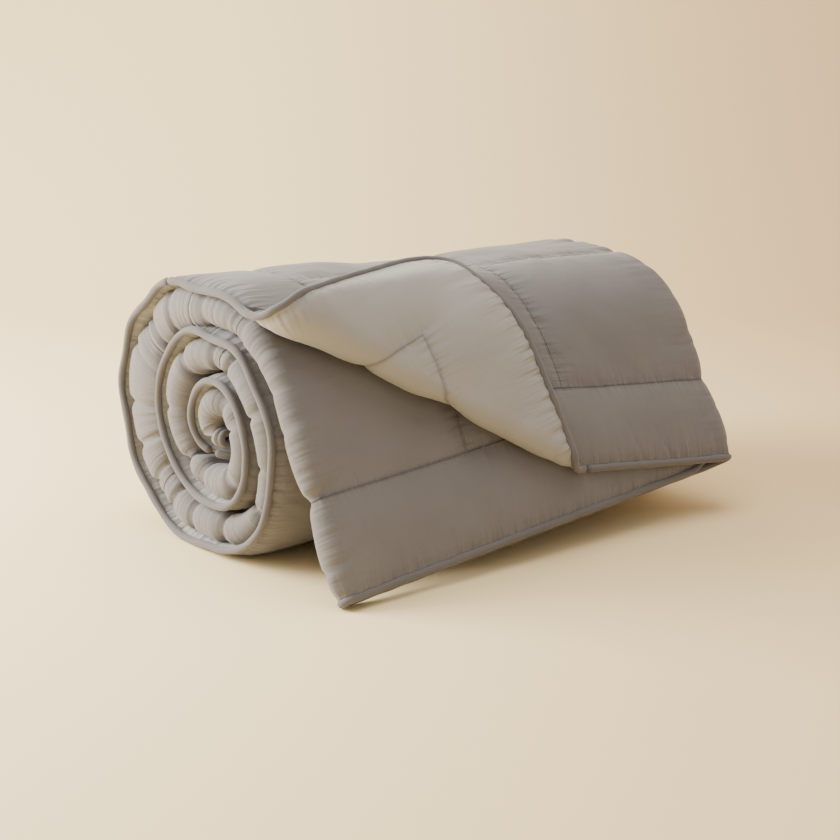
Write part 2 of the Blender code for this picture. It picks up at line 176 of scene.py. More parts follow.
def smooth(x):
    """A soft step from 0 to 1."""
    x = np.clip(x, 0, 1)
    return x * x * (3 - 2 * x)


def waves(count, low, high, seed):
    """A smooth, seeded noise over two coordinates, about -1 to 1."""
    r = np.random.default_rng(seed)
    ang = r.uniform(0, math.tau, count)
    k = math.tau / r.uniform(low, high, count)
    ph = r.uniform(0, math.tau, count)
    amp = r.uniform(0.5, 1.0, count)
    amp /= np.sqrt((amp ** 2).sum() / 2) * 1.6

    def value(x, y):
        out = np.zeros(np.broadcast(x, y).shape)
        for i in range(count):
            out += amp[i] * np.sin(k[i] * (np.cos(ang[i]) * x + np.sin(ang[i]) * y) + ph[i])
        return out
    return value


BROAD = waves(7, 0.25, 0.6, 21)
MEDIUM = waves(9, 0.09, 0.2, 22)


def creases(low, high, step, depth, width, seed):
    """Seeded dents along a line, always inward, 0 to about 1 deep."""
    r = np.random.default_rng(seed)
    at = []
    x = low
    while x < high:
        at.append((x, r.uniform(0.35, 1.0), r.uniform(0.7, 1.3) * width, r.uniform(-0.5, 0.5)))
        x += step * r.uniform(0.55, 1.5)

    def value(x, across):
        out = np.zeros(np.broadcast(x, across).shape)
        for p, d, w, lean in at:
            out += d * np.exp(-(((x - p) - lean * across) / w) ** 2)
        return -depth * np.minimum(out, 1.2)
    return value


# low, high, step, depth, width, seed
LEFT_CREASES = creases(-0.1, 2.3, 0.070, 0.0105, 0.0060, 31)
RIGHT_CREASES = creases(-0.1, 2.3, 0.045, 0.0060, 0.0075, 32)
EDGE_CREASES = creases(-0.1, 2.3, 0.020, 0.0026, 0.0050, 33)
HEM_CREASES = creases(-0.1, 2.5, 0.020, 0.0030, 0.0050, 34)
ALONG_PUCKER = creases(-0.1, 2.3, 0.017, 0.0017, 0.0045, 35)
ACROSS_PUCKER = creases(-0.1, 2.5, 0.017, 0.0017, 0.0045, 36)


# ---------------------------------------------------------------- the quilted box, by cloth simulation
CELL_N = 41
SIM_FRAMES = 45
SIM_START, SIM_ROUGH = 0.002, 0.0006    # the first puff and its seeded roughness


def simulate_boxes():
    """Two by two quilted boxes, held along their seams and blown up from inside. Returns how far the
    points of each box have moved from its flat middle, over an even grid of the box."""
    wa = A_SEAMS[2] - A_SEAMS[1]
    wb = B_SEAMS[2] - B_SEAMS[1]
    n = 2 * (CELL_N - 1) + 1
    xs, ys = np.meshgrid(np.linspace(0, 2 * wa, n), np.linspace(0, 2 * wb, n), indexing="ij")
    r = np.random.default_rng(5)
    zs = SIM_START * np.sin(xs / wa * math.pi) ** 2 * np.sin(ys / wb * math.pi) ** 2
    zs = zs + r.uniform(0, SIM_ROUGH, xs.shape)
    co = np.stack([xs, ys, zs], -1).reshape(-1, 3)
    idx = np.arange(n * n).reshape(n, n)
    quads = np.stack([idx[:-1, :-1], idx[1:, :-1], idx[1:, 1:], idx[:-1, 1:]], -1).reshape(-1, 4)
    mesh = bpy.data.meshes.new("sim")
    mesh.from_pydata(co.tolist(), [], quads.tolist())
    obj = bpy.data.objects.new("sim", mesh)
    bpy.context.scene.collection.objects.link(obj)
    group = obj.vertex_groups.new(name="pin")
    seam = (np.arange(n) % (CELL_N - 1)) == 0
    held = idx[seam[:, None] | seam[None, :]]
    group.add([int(i) for i in held], 1.0, "REPLACE")
    mod = obj.modifiers.new("cloth", "CLOTH")
    c = mod.settings
    c.quality = 6
    c.mass = 0.12
    c.tension_stiffness = 12
    c.compression_stiffness = 12
    c.shear_stiffness = 4
    c.bending_stiffness = 0.35
    c.tension_damping = 8
    c.air_damping = 2
    c.vertex_group_mass = "pin"
    c.shrink_min = -0.055
    c.use_pressure = True
    c.uniform_pressure_force = 1.6
    c.effector_weights.gravity = 0
    mod.collision_settings.use_collision = False
    mod.point_cache.frame_start, mod.point_cache.frame_end = 1, SIM_FRAMES
    for f in range(1, SIM_FRAMES + 1):
        bpy.context.scene.frame_set(f)
    deps = bpy.context.evaluated_depsgraph_get()
    done = obj.evaluated_get(deps).to_mesh()
    out = np.empty(len(done.vertices) * 3)
    done.vertices.foreach_get("co", out)
    bpy.data.objects.remove(obj, do_unlink=True)
    bpy.context.scene.frame_set(1)
    move = (out.reshape(-1, 3) - co).reshape(n, n, 3)
    move[..., 2] += zs
    m = CELL_N - 1
    return [move[i * m:i * m + CELL_N, j * m:j * m + CELL_N] for i in (0, 1) for j in (0, 1)]


CELLS = simulate_boxes()
CELL_TOP = float(np.percentile(CELLS[0][..., 2], 90))
PAST_END = 1.2              # how much faster than sideways a seam's pull fades past its end


def box_field(a, b, side):
    """How a point of the quilt moves across, along and out, from the simulated boxes, and how far it
    lies from the nearest seam along and across. The border strip has no seams across it."""
    ia = np.clip(np.searchsorted(A_SEAMS, a, side="right") - 1, 0, len(A_SEAMS) - 2)
    ib = np.clip(np.searchsorted(B_SEAMS, b, side="right") - 1, 0, len(B_SEAMS) - 2)
    wa = A_SEAMS[ia + 1] - A_SEAMS[ia]
    wb = B_SEAMS[ib + 1] - B_SEAMS[ib]
    xa = np.clip((a - A_SEAMS[ia]) / wa, 0, 1)
    xb = np.clip((b - B_SEAMS[ib]) / wb, 0, 1)
    side_strip = (ia == 0) | (ia == len(A_SEAMS) - 2)
    end_strip = (ib == 0) | (ib == len(B_SEAMS) - 2)
    key = (np.where(end_strip, 3, ia) * 7 + np.where(side_strip, 3, ib) * 13 + side * 5) % 16
    fa, fb, pick = key % 2 == 1, (key // 2) % 2 == 1, key // 4
    cells = np.stack(CELLS)

    def sample(xa, xb):
        ua, ub = np.where(fa, 1 - xa, xa) * (CELL_N - 1), np.where(fb, 1 - xb, xb) * (CELL_N - 1)
        i, j = np.minimum(ua.astype(int), CELL_N - 2), np.minimum(ub.astype(int), CELL_N - 2)
        p, q = (ua - i)[..., None], (ub - j)[..., None]
        v = cells[pick, i, j] * (1 - p) * (1 - q) + cells[pick, i + 1, j] * p * (1 - q)
        return v + cells[pick, i, j + 1] * (1 - p) * q + cells[pick, i + 1, j + 1] * p * q

    across = sample(xa, np.where(side_strip, 0.5, xb))
    along = sample(np.where(end_strip, 0.5, xa), xb)
    v = np.where((side_strip & ~end_strip)[..., None], across, along)
    v = np.where((side_strip & end_strip)[..., None], np.maximum(across, along), v)
    size = np.minimum(wa / (A_SEAMS[2] - A_SEAMS[1]), wb / (B_SEAMS[2] - B_SEAMS[1])) ** 0.5
    inner_a = np.clip(np.abs(a - WIDE / 2) - (WIDE / 2 - BORDER), 0, 1)
    inner_b = np.clip(np.abs(b - LONG / 2) - (LONG / 2 - BORDER), 0, 1)
    near_a = np.hypot(np.minimum(xa, 1 - xa) * wa, PAST_END * inner_b)
    near_b = np.hypot(np.minimum(xb, 1 - xb) * wb, PAST_END * inner_a)
    boxed = 1 - (side_strip | end_strip)
    da = np.where(fa, -1, 1) * v[..., 0] * size * boxed
    db = np.where(fb, -1, 1) * v[..., 1] * size * boxed
    return da, db, v[..., 2] * size, near_a, near_b


def fold(a):
    """Across the folded stack: (u, h, normal u, normal h) of the duvet's middle at a."""
    a = np.asarray(a, float)
    u, h, nu, nh = (np.zeros_like(a) for _ in range(4))
    x = a - TOP_RUN
    m = x < 0
    u[m], h[m], nh[m] = -HW + a[m], LS, 1
    m = (x >= 0) & (x < RIGHT_ARC)
    t = x[m] / LS
    u[m], h[m], nu[m], nh[m] = RC + LS * np.sin(t), LS * np.cos(t), np.sin(t), np.cos(t)
    x = x - RIGHT_ARC
    m = (x >= 0) & (x < BOTTOM_RUN)
    u[m], h[m], nh[m] = RC - x[m], -LS, -1
    x = x - BOTTOM_RUN
    m = (x >= 0) & (x < LEFT_ARC)
    t = x[m] / (LS / 2)
    u[m] = LC - LS / 2 * np.sin(t)
    h[m] = -LS / 2 - LS / 2 * np.cos(t)
    nu[m], nh[m] = -np.sin(t), -np.cos(t)
    x = x - LEFT_ARC
    m = x >= 0
    u[m], nh[m] = LC + x[m], 1
    return u, h, nu, nh


def slack(s):
    """How much the inner leaves swell where the turns of the roll leave room, 0 to LOOSE."""
    middle, half = 0.5 * (S_BACK[0] + S_BACK[1]), 0.5 * (S_BACK[1] - S_BACK[0])
    return LOOSE * np.cos(np.clip((s - middle) / half, -1, 1) * math.pi / 2) ** 1.3


def world(u, s, h):
    """World position of a point of the folded stack, on the roll or the tail."""
    y, z, ny, nz = (np.interp(s, S_TAB, P_TAB[:, i]) for i in range(4))
    k = np.hypot(ny, nz)
    y = y + np.minimum(s, 0)
    h = np.where(h < TOP_LEAF, TOP_LEAF + (h - TOP_LEAF) * (1 + slack(s)), h)
    fuller = FULLER + FULLER_OPEN_END * np.clip(-u / HW, 0, 1)
    grow = 1 + fuller * (1 - smooth((s - SLOPE) / TAIL))
    z = (z + h * nz / k) * grow
    z = np.where(z > HIGH, HIGH + GIVE * np.tanh((z - HIGH) / GIVE), z)
    z = np.maximum(z - DROOP * np.clip((s - LONG) / DROOP_LENGTH + 1, 0, 1) ** 2, FLOOR_GAP)
    return np.stack([u, (y + h * ny / k) * grow + Y_SHIFT, z], -1)


def rounded(a, b):
    """Rounds off the duvet's four corners, as they are cut."""
    ea, eb = np.minimum(a, WIDE - a), np.minimum(b, LONG - b)
    p, q = 1 - ea / EDGE_ROUND, 1 - eb / EDGE_ROUND
    inside = (p > 0) & (q > 0)
    m = np.where(inside, np.maximum(p, q) / np.maximum(np.hypot(p, q), 1e-9), 1)
    na, nb = EDGE_ROUND * (1 - p * m), EDGE_ROUND * (1 - q * m)
    a = np.where(inside, np.where(a < WIDE / 2, na, WIDE - na), a)
    return a, np.where(inside, np.where(b < LONG / 2, nb, LONG - nb), b)


def half_thickness(a, b, side, up, near_a, near_b):
    """How far a fabric lies from the quilt's middle: full in the boxes, pinched at seams and edges,
    and creased where the stack is folded."""
    edge = edge_distance(a, b)
    near = np.minimum(near_a, near_b)
    puff = 0.5 * np.clip(up / CELL_TOP, -0.1, 1.25) + 0.5 * (1 - np.exp(-near / SEAM_REACH))
    t = SEAM_T + (CENTRE_T - SEAM_T) * puff
    t = EDGE_T + (t - EDGE_T) * smooth(edge / EDGE_REACH)
    if side > 0:
        in_left = np.exp(-((a - A_LEFT) / LEFT_REACH) ** 2)
        in_right = np.exp(-((a - A_RIGHT) / RIGHT_REACH) ** 2)
        rolled = 1 - 0.65 * smooth((b - RIDGE + 0.05) / 0.2)
        t = t + rolled * in_left * (LEFT_CREASES(b, a - A_LEFT) + 0.004)
        t = t + rolled * in_right * (RIGHT_CREASES(b, a - A_RIGHT) + 0.002)
    in_hem = np.exp(-np.maximum(LONG - b, 0) / HEM_REACH)
    t = t + beside_rim(a) * EDGE_CREASES(b, a) + in_hem * HEM_CREASES(a, LONG - b)
    t = t + np.exp(-near_a / PUCKER_REACH) * ALONG_PUCKER(b, a)
    t = t + np.exp(-near_b / PUCKER_REACH) * ACROSS_PUCKER(a, b)
    return np.maximum(t, THINNEST)


def edge_distance(a, b):
    """How far a point of the quilt lies from its nearest edge."""
    return np.minimum(np.minimum(a, WIDE - a), np.minimum(b, LONG - b))


def beside_rim(a):
    """1 at the side edge that shows on the roll's end, falling away from it."""
    return np.exp(-np.maximum(a, 0) / RIM_REACH)


def waver(a, b):
    """How far the quilt's middle strays from the even roll, most of all along the side edge."""
    wob = BROAD_WAVE * BROAD(a, b) + MEDIUM_WAVE * MEDIUM(a, b)
    return wob + beside_rim(a) * RIM_WAVE * np.sin(b / 0.021 + 2.0 * np.sin(b / 0.11)) * (a < 0.2)


def drawn_back(u, s, top):
    """The place along the leaves, where those near the hem are drawn back one behind the other."""
    share = (u + HW) / (2 * HW)
    drawn = SKEW * np.where(top, np.maximum(share, CORNER_ACROSS / (2 * HW)), share)
    drawn = drawn + np.where(top, RETREAT * np.clip((RC - u) / (RC - FOLD_END), 0, 1), 0)
    return s - drawn * np.clip((s - DRAW_START) / (LONG - DRAW_START), 0, 1.02)


def rolled_over(x, y, place, top):
    """The top leaf's corner, rolled over along its diagonal fold. x and y are out from and along the
    fold on the flat leaf, and place is (u, s, h) and their normals before the corner is turned."""
    u, s, h, nu, ns, nh = place
    rad = CURL + CURL_START * np.exp(-(y / CURL_FADE) ** 2)
    w = np.where(top, CUT_X - x, -1)
    over = w > 0
    turned = np.minimum(w, math.pi * rad / 2)
    th = np.clip(FLAP_X * w / rad, 0, math.pi)
    yw = ALONG_SCALE * y + LEAF_Y * (CUT_X - turned) + FLAP_Y * (w - turned)
    past = np.maximum(FLAP_X * w - math.pi * rad, 0)
    xw = LEAF_X * CUT_X - rad * np.sin(th) + past
    bulge = BULGE * np.sin(np.clip(past / BULGE_LENGTH, 0, 1) * math.pi)
    bulge = bulge - TIP_DIP * smooth((past - TIP_DIP_AT) / TIP_DIP_LENGTH)
    bulge = bulge * np.sin(np.clip(y / FLAP_LENGTH, 0, 1) * math.pi)
    u = np.where(over, -HW + yw * LAID_DIR[0] + xw * LAID_OUT[0], u)
    s = np.where(over, LAID_START + yw * LAID_DIR[1] + xw * LAID_OUT[1], s)
    h = np.where(over, LS + rad * (1 - np.cos(th)) + bulge, h)
    nu = np.where(over, np.sin(th) * LAID_OUT[0], nu)
    ns = np.where(over, np.sin(th) * LAID_OUT[1], ns)
    nh = np.where(over, np.cos(th), nh)
    return u, s, h, nu, ns, nh


def quilt(a, b, side, lift=0.0):
    """World position of a point of the quilt: side 1 is the face, -1 the reverse, 0 the middle."""
    a, b = np.broadcast_arrays(np.asarray(a, float), np.asarray(b, float))
    da, db, up, near_a, near_b = box_field(a, b, max(side, 0))
    calm = smooth(edge_distance(a, b) / EDGE_CALM)
    ra, rb = rounded(a, b)
    u, h, nu, nh = fold(ra + SLIDE * da * calm)
    s = rb + SLIDE * db * calm
    top = a < TOP_RUN
    x = (u + HW) * FOLD_OUT[0] + (s - S_A) * FOLD_OUT[1]
    y = (u + HW) * FOLD_DIR[0] + (s - S_A) * FOLD_DIR[1]
    s = drawn_back(u, s, top)
    u, s, h, nu, ns, nh = rolled_over(x, y, (u, s, h, nu, np.zeros_like(u), nh), top)
    t = side * half_thickness(a, b, side, up, near_a, near_b) + waver(a, b) + lift
    return world(u + nu * t, s + ns * t, h + nh * t)


# ---------------------------------------------------------------- meshes
def linked(name, data):
    """A new object in the scene."""
    obj = bpy.data.objects.new(name, data)
    bpy.context.scene.collection.objects.link(obj)
    return obj


def mesh_object(name, co, faces, uv, mats, index=None):
    """A smooth object from arrays of points and of faces that all have as many corners."""
    mesh = bpy.data.meshes.new(name)
    faces = np.asarray(faces)
    size = faces.shape[1]
    mesh.vertices.add(len(co))
    mesh.vertices.foreach_set("co", np.asarray(co, np.float32).ravel())
    mesh.loops.add(faces.size)
    mesh.loops.foreach_set("vertex_index", faces.ravel().astype(np.int32))
    mesh.polygons.add(len(faces))
    mesh.polygons.foreach_set("loop_start", np.arange(0, faces.size, size, dtype=np.int32))
    mesh.polygons.foreach_set("loop_total", np.full(len(faces), size, np.int32))
    mesh.polygons.foreach_set("use_smooth", np.ones(len(faces), bool))
    for m in mats:
        mesh.materials.append(m)
    if index is not None:
        mesh.polygons.foreach_set("material_index", np.asarray(index, np.int32))
    layer = mesh.uv_layers.new(name="cloth")
    layer.data.foreach_set("uv", np.asarray(uv, np.float32)[faces.ravel()].ravel())
    mesh.update(calc_edges=True)
    mesh.validate()
    return linked(name, mesh)


def shell(name, a, b, mats):
    """A closed body of quilt over a grid of (a, b), rows along b: face, reverse and rim."""
    rows, cols = a.shape
    face = quilt(a, b, 1).reshape(-1, 3)
    back = quilt(a, b, -1).reshape(-1, 3)
    idx = np.arange(rows * cols).reshape(rows, cols)
    top = np.stack([idx[:-1, :-1], idx[:-1, 1:], idx[1:, 1:], idx[1:, :-1]], -1).reshape(-1, 4)
    low = top[:, ::-1] + rows * cols
    rim = np.concatenate([idx[0, :-1], idx[:-1, -1], idx[-1, :0:-1], idx[:0:-1, 0]])
    nxt = np.roll(rim, -1)
    n = rows * cols
    wall = np.stack([nxt, rim, rim + n, nxt + n], -1)
    uv = np.stack([a.ravel(), b.ravel()], -1)
    index = np.concatenate([np.zeros(len(top)), np.ones(len(low)), np.zeros(len(wall))])
    return mesh_object(name, np.concatenate([face, back]), np.concatenate([top, low, wall]),
                       np.concatenate([uv, uv]), mats, index)


def spaced(marks, steps):
    """Values from the first mark to the last, with a step of its own between each two marks."""
    out = [marks[0]]
    for lo, hi, st in zip(marks, marks[1:], steps):
        out.extend(np.linspace(lo, hi, max(1, round((hi - lo) / st)) + 1)[1:])
    return np.array(out)


FINE_STEP = 0.0045
MID_STEP = 0.0075
COARSE = 0.014
OUTER = RIDGE - 1.12        # where the outer turn starts, which is all that shows of the face
FOLD_MARGIN = 0.03          # fine mesh on either side of the folds of the stack
B_ROLL = spaced([0, OUTER, CUT], [MID_STEP, FINE_STEP])
B_TAIL = spaced([CUT, S_A, LONG], [FINE_STEP, FINE_STEP])
A_TOP = spaced([0, 0.15, TOP_RUN - FOLD_MARGIN], [FINE_STEP * 0.8, MID_STEP])
A_REST = spaced([TOP_RUN - FOLD_MARGIN, TOP_RUN + RIGHT_ARC + 0.05,
                 A_LEFT - 3 * FOLD_MARGIN, A_LEFT + 3 * FOLD_MARGIN, WIDE - FOLD_MARGIN, WIDE],
                [FINE_STEP, COARSE, FINE_STEP, COARSE, FINE_STEP])
SEAM_ON_FOLD = 0.006        # where the corner's visual piece starts, out from the fold's line


def cut_line(b):
    """Where the turned-back corner starts on the top leaf at b, as a position across."""
    return np.maximum(0.0, (SEAM_ON_FOLD - (b - S_A) * FOLD_OUT[1]) / FOLD_OUT[0])


A_SIDE = np.concatenate([A_TOP, A_REST[1:]])
a_roll, b_roll = np.meshgrid(A_SIDE, B_ROLL)


def tail_grid(b_values):
    """Rows along b; the top leaf's columns squeeze up to the diagonal cut."""
    share = A_TOP / A_TOP[-1]
    rows = []
    for b in b_values:
        first = float(cut_line(b))
        rows.append(np.concatenate([first + (A_TOP[-1] - first) * share, A_REST[1:]]))
    return np.array(rows), np.repeat(np.array(b_values)[:, None], len(A_SIDE), 1)


def corner_grid():
    """Rows along b of the top leaf's corner, from its edge to the diagonal cut."""
    rows = spaced([S_A + 0.010, LONG], [FINE_STEP])
    share = np.linspace(0, 1, 76)
    a = np.array([share * float(cut_line(b)) for b in rows])
    return a, np.repeat(rows[:, None], len(share), 1)


# ---------------------------------------------------------------- materials
def nodes_of(mat):
    """The nodes and links of a material."""
    mat.use_nodes = True
    return mat.node_tree.nodes, mat.node_tree.links


SEAM_LINE = 0.0017          # half width of the seam's line: a groove in the bump, and painted shade darkening the colour
RIM_PLEATS, FOLD_PLEATS = 0.020, 0.040  # how far the shaded pleats run from an edge and from a fold


def fabric(name, dark, light, rough=0.85, sheen=0.35, weave=0.25, quilted=True):
    """A brushed microfibre: fine nap as bump, soft mottling as colour, and on the quilt's faces the
    pulled-in seam lines, as grooves in the bump and as painted shade darkening the colour, with the
    puckers and pleats beside them."""
    mat = bpy.data.materials.new(name)
    nodes, links = nodes_of(mat)
    bsdf = nodes["Principled BSDF"]
    bsdf.inputs["Roughness"].default_value = rough
    bsdf.inputs["Sheen Weight"].default_value = sheen
    bsdf.inputs["Sheen Roughness"].default_value = 0.45
    bsdf.inputs["Sheen Tint"].default_value = (1.0, 0.97, 0.94, 1)
    bsdf.inputs["Specular IOR Level"].default_value = 0.2
    uv = nodes.new("ShaderNodeUVMap")
    uv.uv_map = "cloth"

    def math_node(op, *values):
        node = nodes.new("ShaderNodeMath")
        node.operation = op
        for socket, value in zip(node.inputs, values):
            if isinstance(value, (int, float)):
                socket.default_value = value
            else:
                links.new(value, socket)
        return node.outputs[0]

    def noise(scale, stretch=(1, 1, 1), detail=3.0):
        node = nodes.new("ShaderNodeTexNoise")
        node.inputs["Scale"].default_value = scale
        node.inputs["Detail"].default_value = detail
        place = nodes.new("ShaderNodeMapping")
        place.inputs["Scale"].default_value = stretch
        links.new(uv.outputs["UV"], place.inputs["Vector"])
        links.new(place.outputs["Vector"], node.inputs["Vector"])
        return node.outputs["Fac"]

    mottle = math_node("MULTIPLY", noise(420), 0.45)
    mottle = math_node("MULTIPLY_ADD", noise(14, detail=6), 0.55, mottle)
    height = math_node("MULTIPLY", noise(420, (1, 0.4, 1)), 0.10)
    height = math_node("MULTIPLY_ADD", noise(45, detail=4), 0.42, height)
    height = math_node("MULTIPLY_ADD", noise(11, (1, 0.6, 1), 2.0), 1.3, height)
    shade = mottle
    if quilted:
        split = nodes.new("ShaderNodeSeparateXYZ")
        links.new(uv.outputs["UV"], split.inputs[0])
        dist = []
        for axis, size, count in ((0, WIDE, ACROSS_BOXES), (1, LONG, ALONG_BOXES)):
            pitch = (size - 2 * BORDER) / count
            turn = math_node("MULTIPLY_ADD", split.outputs[axis], 1 / pitch, -BORDER / pitch)
            off = math_node("ABSOLUTE", math_node("SUBTRACT", turn, math_node("ROUND", turn)))
            other, width = split.outputs[1 - axis], (LONG, WIDE)[axis]
            past = math_node("ABSOLUTE", math_node("SUBTRACT", other, width / 2))
            past = math_node("MAXIMUM", math_node("SUBTRACT", past, width / 2 - BORDER), 0.0)
            dist.append(math_node("MULTIPLY_ADD", off, pitch, math_node("MULTIPLY", past, PAST_END)))
        seam = math_node("MINIMUM", *dist)
        line = math_node("EXPONENT", math_node("MULTIPLY", seam, -1 / SEAM_LINE))
        height = math_node("MULTIPLY_ADD", line, -1.6, height)
        # painted shade: the colour darkened along each seam line, where shade falls in its groove
        shade = math_node("MULTIPLY_ADD", line, -1.5, shade)
        edges = (split.outputs[0], math_node("SUBTRACT", LONG, split.outputs[1]))
        for axis, stretch in ((0, (9, 95, 1)), (1, (95, 9, 1))):
            close = math_node("EXPONENT", math_node("MULTIPLY", dist[axis], -1 / PUCKER_REACH))
            rim = math_node("EXPONENT", math_node("MULTIPLY", edges[axis], -1 / RIM_PLEATS))
            both = math_node("ADD", close, math_node("MULTIPLY", rim, 1.6))
            if axis == 0:
                for at in (A_LEFT, A_RIGHT):
                    gone = math_node("ABSOLUTE", math_node("SUBTRACT", split.outputs[0], at))
                    fall = math_node("EXPONENT", math_node("MULTIPLY", gone, -1 / FOLD_PLEATS))
                    both = math_node("MULTIPLY_ADD", fall, 0.45, both)
            pleats = math_node("SUBTRACT", noise(1.0, stretch, 1.5), 0.5)
            height = math_node("MULTIPLY_ADD", math_node("MULTIPLY", pleats, both), 4.6, height)
    mix = nodes.new("ShaderNodeMix")
    mix.data_type = "RGBA"
    mix.clamp_factor = True
    mix.inputs["A"].default_value = (*dark, 1)
    mix.inputs["B"].default_value = (*light, 1)
    bump = nodes.new("ShaderNodeBump")
    bump.inputs["Strength"].default_value = weave
    bump.inputs["Distance"].default_value = 0.0022
    links.new(shade, mix.inputs["Factor"])
    links.new(mix.outputs["Result"], bsdf.inputs["Base Color"])
    links.new(height, bump.inputs["Height"])
    links.new(bump.outputs["Normal"], bsdf.inputs["Normal"])
    return mat


FACE = fabric("duvet_face_fabric", (0.128, 0.118, 0.112), (0.182, 0.169, 0.161),
              sheen=0.22, weave=0.8)
BACK = fabric("duvet_reverse_fabric", (0.272, 0.257, 0.233), (0.350, 0.333, 0.303),
              sheen=0.22, weave=0.8)
PIPING = fabric("duvet_piping_fabric", (0.110, 0.101, 0.096), (0.154, 0.142, 0.135),
                sheen=0.2, weave=0.5, quilted=False)
THREAD = fabric("duvet_thread", (0.11, 0.10, 0.092), (0.15, 0.135, 0.125),
                rough=0.6, sheen=0.1, quilted=False)


# ---------------------------------------------------------------- piping and stitches
def frames(p):
    """Tangent, side and up vectors along a line of points, without twist."""
    t = np.gradient(p, axis=0)
    t /= np.linalg.norm(t, axis=1)[:, None]
    side = np.zeros_like(p)
    s = np.cross(t[0], [0.3, 0.5, 0.8])
    for i in range(len(p)):
        s = s - t[i] * s.dot(t[i])
        s = s / np.linalg.norm(s)
        side[i] = s
    return t, side, np.cross(t, side)


def tube(name, runs, radius, sides, mat, wobble):
    """Closed round tubes along one or more lines of points, as one object."""
    pts, faces, uvs = [], [], []
    base = 0
    for p in runs:
        t, side, up = frames(p)
        n = len(p)
        ang = np.arange(sides) * math.tau / sides
        length = np.concatenate([[0], np.cumsum(np.linalg.norm(np.diff(p, axis=0), axis=1))])
        r = radius * (1 + wobble * np.sin(length / 0.009 + 1.7 * np.sin(length / 0.05)))
        taper = np.ones(n)
        taper[0] = taper[-1] = 0.45
        out = side[:, None] * np.cos(ang)[None, :, None] + up[:, None] * np.sin(ang)[None, :, None]
        ring = p[:, None] + out * (r * taper)[:, None, None]
        pts.append(ring.reshape(-1, 3))
        pts.append(p[[0, -1]])
        uvs.append(np.stack([np.tile(ang * radius, n), np.repeat(length, sides)], -1))
        uvs.append(np.array([[0, 0], [0, length[-1]]]))
        i, j = np.meshgrid(np.arange(n - 1), np.arange(sides), indexing="ij")
        k = (j + 1) % sides
        near_ring, far_ring = i * sides, (i + 1) * sides
        quad = np.stack([near_ring + j, near_ring + k, far_ring + k, far_ring + j], -1)
        faces.append(quad.reshape(-1, 4) + base)
        j = np.arange(sides)
        k = (j + 1) % sides
        first_cap, last_cap = n * sides, n * sides + 1
        faces.append(np.stack([np.full(sides, first_cap), k, j, j], -1) + base)
        last = (n - 1) * sides
        faces.append(np.stack([np.full(sides, last_cap), last + j, last + k, last + k], -1) + base)
        base += n * sides + 2
    co, uv = np.concatenate(pts), np.concatenate(uvs)
    mesh = bpy.data.meshes.new(name)
    rows = []
    for f in np.concatenate(faces).tolist():
        rows.append(f[:3] if f[2] == f[3] else f)
    mesh.from_pydata(co.tolist(), [], rows)
    layer = mesh.uv_layers.new(name="cloth")
    flat = np.array([v for f in rows for v in f])
    layer.data.foreach_set("uv", uv[flat].astype(np.float32).ravel())
    mesh.materials.append(mat)
    mesh.polygons.foreach_set("use_smooth", np.ones(len(rows), bool))
    mesh.update()
    return linked(name, mesh)


def on_floor(p):
    """The piping's middle line, where it would sink into the floor, laid on it."""
    p[:, 2] = np.maximum(p[:, 2], 1.05 * PIPE)
    return p


PIPE_STEP = 0.004


def along_b(a, lo, hi):
    """A line of points along the quilt at a."""
    b = np.linspace(lo, hi, max(4, round((hi - lo) / PIPE_STEP)))
    return on_floor(quilt(np.full_like(b, a), b, 0))


def along_a(lo, hi, b):
    """A line of points across the quilt at b."""
    a = np.linspace(lo, hi, max(4, round((hi - lo) / PIPE_STEP)))
    return on_floor(quilt(a, np.full_like(a, b), 0))


roll = shell("duvet_roll", a_roll, b_roll, (FACE, BACK))
tail = shell("duvet_tail", *tail_grid(B_TAIL), (FACE, BACK))
corner = shell("duvet_corner", *corner_grid(), (FACE, BACK))

PIPE_OUT = PIPE * 0.35      # how far past the quilt's edge the piping's middle lies
PIPE_SIDES, PIPE_WAVER = 10, 0.05
HEM_START = float(cut_line(LONG))
CORNER_B = S_A + 0.016      # where the tail's piping passes into the corner's
PIPE_LAP = 0.014            # the length along which one lies in the other
roll_edges = [along_b(-PIPE_OUT, 0.004, CUT), along_b(WIDE + PIPE_OUT, 0.004, CUT),
              along_a(0.002, WIDE - 0.002, -PIPE_OUT)]
tail_edges = [along_b(-PIPE_OUT, CUT, CORNER_B), along_b(WIDE + PIPE_OUT, CUT, LONG - 0.004),
              along_a(HEM_START + 0.002, WIDE - 0.002, LONG + PIPE_OUT)]
corner_edges = [np.concatenate([along_b(-PIPE_OUT, CORNER_B - PIPE_LAP, LONG - 0.012),
                                along_a(0.012, HEM_START, LONG + PIPE_OUT)])]
roll_piping = tube("roll_piping", roll_edges, PIPE, PIPE_SIDES, PIPING, PIPE_WAVER)
tail_piping = tube("tail_piping", tail_edges, PIPE, PIPE_SIDES, PIPING, PIPE_WAVER)
corner_piping = tube("corner_piping", corner_edges, PIPE, PIPE_SIDES, PIPING, PIPE_WAVER)


